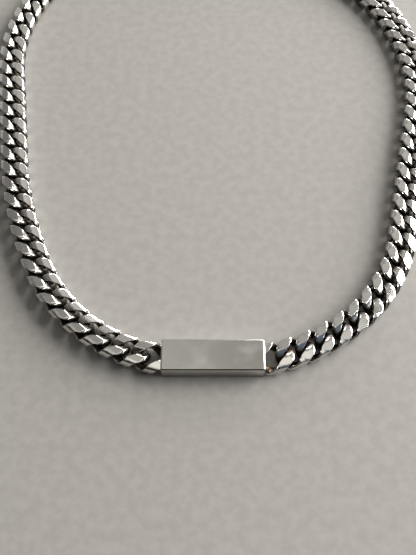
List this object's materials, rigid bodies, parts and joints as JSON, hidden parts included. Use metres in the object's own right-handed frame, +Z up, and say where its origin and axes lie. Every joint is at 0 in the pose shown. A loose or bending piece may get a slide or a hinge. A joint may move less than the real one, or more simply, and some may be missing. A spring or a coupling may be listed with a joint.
{
  "type": "identity bracelet",
  "caption": "Identity bracelet: a bare rectangular plate and a flat twisted curb chain, closed into a loop by a plain clasp, lying on a surface.",
  "frame": {"origin": "middle of the loop's box, at the surface that the bracelet lies on", "axes": "+Z up, +X along the plate to its right end, +Y from the plate across the loop to the clasp"},
  "size_m": [0.0586, 0.0698, 0.0023],
  "materials": {
    "plate_steel": "polished flat with fine hairline scratches, bright bevelled edges",
    "link_steel": "mirror polished wire with flat cut facets, darker where the links meet",
    "clasp_steel": "polished with bevelled edges"
  },
  "bodies": {
    "root": {"id_plate": "plate_steel", "chain_right": "link_steel", "chain_left": "link_steel", "clasp": "clasp_steel"}
  },
  "joints": []
}
